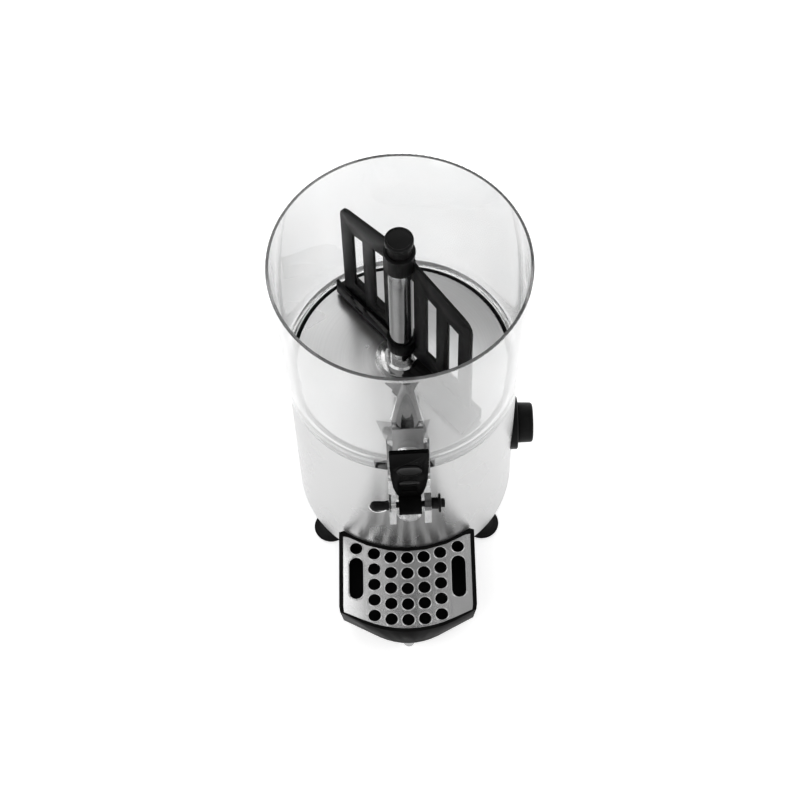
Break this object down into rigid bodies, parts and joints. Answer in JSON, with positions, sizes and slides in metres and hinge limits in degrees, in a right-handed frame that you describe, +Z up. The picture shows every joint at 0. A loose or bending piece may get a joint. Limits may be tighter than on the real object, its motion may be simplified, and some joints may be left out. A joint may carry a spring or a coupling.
{
  "type": "hot chocolate dispenser",
  "caption": "Counter-top hot chocolate dispenser: clear mixing bowl with a lever tap on a round brushed steel heated base, with a drip tray in front.",
  "frame": {"origin": "on the table plane, under the axis of the bowl and the housing", "axes": "+Z up along the bowl's axis, -Y toward the drip tray, +X toward the thermostat knob"},
  "size_m": [0.2607, 0.3419, 0.4676],
  "materials": {
    "brushed_housing": "vertical brushed stainless sheet",
    "zinc_sheet": "zinc plated sheet",
    "black_rubber": "matt black rubber",
    "bright_screw": "bright plated steel",
    "tank_steel": "drawn stainless sheet",
    "pan_steel": "satin turned stainless",
    "black_plastic": "black moulded plastic",
    "dark_plastic": "dark moulded plastic",
    "polished_tube": "polished stainless tube",
    "element_steel": "annealed heater sheath",
    "brass_nut": "machined brass",
    "cast_case": "die cast case",
    "core_iron": "laminated iron",
    "winding": "enamelled copper winding",
    "bronze_bush": "sintered bronze",
    "pale_plastic": "pale moulded plastic",
    "white_gear": "natural acetal",
    "knob_plastic": "black knob plastic",
    "mixer_plastic": "black food grade plastic",
    "clear_plastic": "clear moulded polycarbonate",
    "lever_plastic": "semi gloss black plastic",
    "seal_rubber": "grey seal rubber",
    "tray_plastic": "black moulded plastic",
    "grey_foot": "grey moulded plastic",
    "grille_steel": "pressed stainless sheet"
  },
  "bodies": {
    "base": {"housing_shell": "brushed_housing", "base_plate": "zinc_sheet", "rubber_feet": "black_rubber", "foot_screws": "bright_screw", "foot_nuts": "bright_screw", "water_tank": "tank_steel", "heating_pan": "pan_steel", "pan_gasket": "black_rubber", "bowl_stop": "black_plastic", "column_tube": "polished_tube", "column_flange": "polished_tube", "column_nuts": "polished_tube", "heating_element": "element_steel", "element_nuts": "brass_nut", "safety_thermostat": "dark_plastic", "gearbox_case": "cast_case", "motor_bracket": "zinc_sheet", "bracket_screws": "bright_screw", "motor_core": "core_iron", "motor_coil": "winding", "shaft_bushes": "bronze_bush", "thermostat_body": "dark_plastic", "knob_bezel": "black_plastic", "switch_frame": "black_plastic", "cable_gland": "dark_plastic", "gland_nut": "dark_plastic", "terminal_block": "pale_plastic", "tray_pegs": "black_plastic"},
    "drive": {"output_gear": "white_gear", "output_shaft": "polished_tube", "shaft_coupling": "zinc_sheet", "drive_shaft": "polished_tube"},
    "middle_gear": {"middle_gear": "white_gear"},
    "rotor": {"motor_rotor": "core_iron", "rotor_pinion": "brass_nut"},
    "knob": {"thermostat_knob": "knob_plastic", "thermostat_spindle": "bright_screw"},
    "rocker": {"switch_rocker": "knob_plastic"},
    "mixer": {"mixer_frame": "mixer_plastic", "scraper_blade_left": "mixer_plastic", "scraper_blade_right": "mixer_plastic", "scraper_rivets": "bright_screw", "mixer_cap": "mixer_plastic"},
    "bowl": {"bowl": "clear_plastic", "tap_pin": "black_plastic", "pin_knob": "black_plastic", "tap_cap": "black_plastic", "tap_spring": "bright_screw"},
    "lever": {"tap_lever": "lever_plastic"},
    "piston": {"tap_piston": "black_plastic", "piston_seals": "seal_rubber"},
    "tray": {"drip_tray": "tray_plastic", "tray_foot": "grey_foot"},
    "grille": {"drip_grille": "grille_steel"}
  },
  "joints": [
    {"name": "drive_turn", "type": "hinge", "parent": "base", "child": "drive", "pos_m": [0, 0, 0.104], "axis": [0, 0, 1], "continuous": true},
    {"name": "middle_gear_turn", "type": "hinge", "parent": "base", "child": "middle_gear", "pos_m": [-0.0375, 0, 0.1], "axis": [0, 0, 1], "continuous": true},
    {"name": "rotor_turn", "type": "hinge", "parent": "base", "child": "rotor", "pos_m": [-0.075, 0, 0.09], "axis": [0, 0, 1], "continuous": true},
    {"name": "mixer_lift", "type": "slide", "parent": "drive", "child": "mixer", "axis": [0, 0, 1], "range_m": [0, 0.2]},
    {"name": "bowl_lift", "type": "slide", "parent": "base", "child": "bowl", "axis": [0, 0, 1], "range_m": [0, 0.25]},
    {"name": "lever_turn", "type": "hinge", "parent": "bowl", "child": "lever", "pos_m": [0.00458, -0.15443, 0.2385], "axis": [0.9996, 0.0297, 0], "range_deg": [0, 42]},
    {"name": "piston_lift", "type": "slide", "parent": "bowl", "child": "piston", "axis": [0, 0, 1], "range_m": [0, 0.01275], "stiffness_N_per_m": 200, "springref_m": -0.01, "deforming": ["tap_spring"]},
    {"name": "knob_turn", "type": "hinge", "parent": "base", "child": "knob", "pos_m": [0.12, 0, 0.11], "axis": [-1, 0, 0], "range_deg": [0, 270]},
    {"name": "rocker_turn", "type": "hinge", "parent": "base", "child": "rocker", "pos_m": [0.08618, 0.07231, 0.107], "axis": [-0.6428, 0.766, 0], "range_deg": [-6.5, 6.5]},
    {"name": "tray_lift", "type": "slide", "parent": "base", "child": "tray", "axis": [0, 0, 1], "range_m": [0, 0.06]},
    {"name": "grille_lift", "type": "slide", "parent": "tray", "child": "grille", "axis": [0, 0, 1], "range_m": [0, 0.05]}
  ],
  "couplings": [
    {"joint": "middle_gear_turn", "follows": "drive_turn", "ratio": -4},
    {"joint": "rotor_turn", "follows": "drive_turn", "ratio": 16},
    {"joint": "piston_lift", "follows": "lever_turn", "m_per_rad": 0.017325}
  ]
}
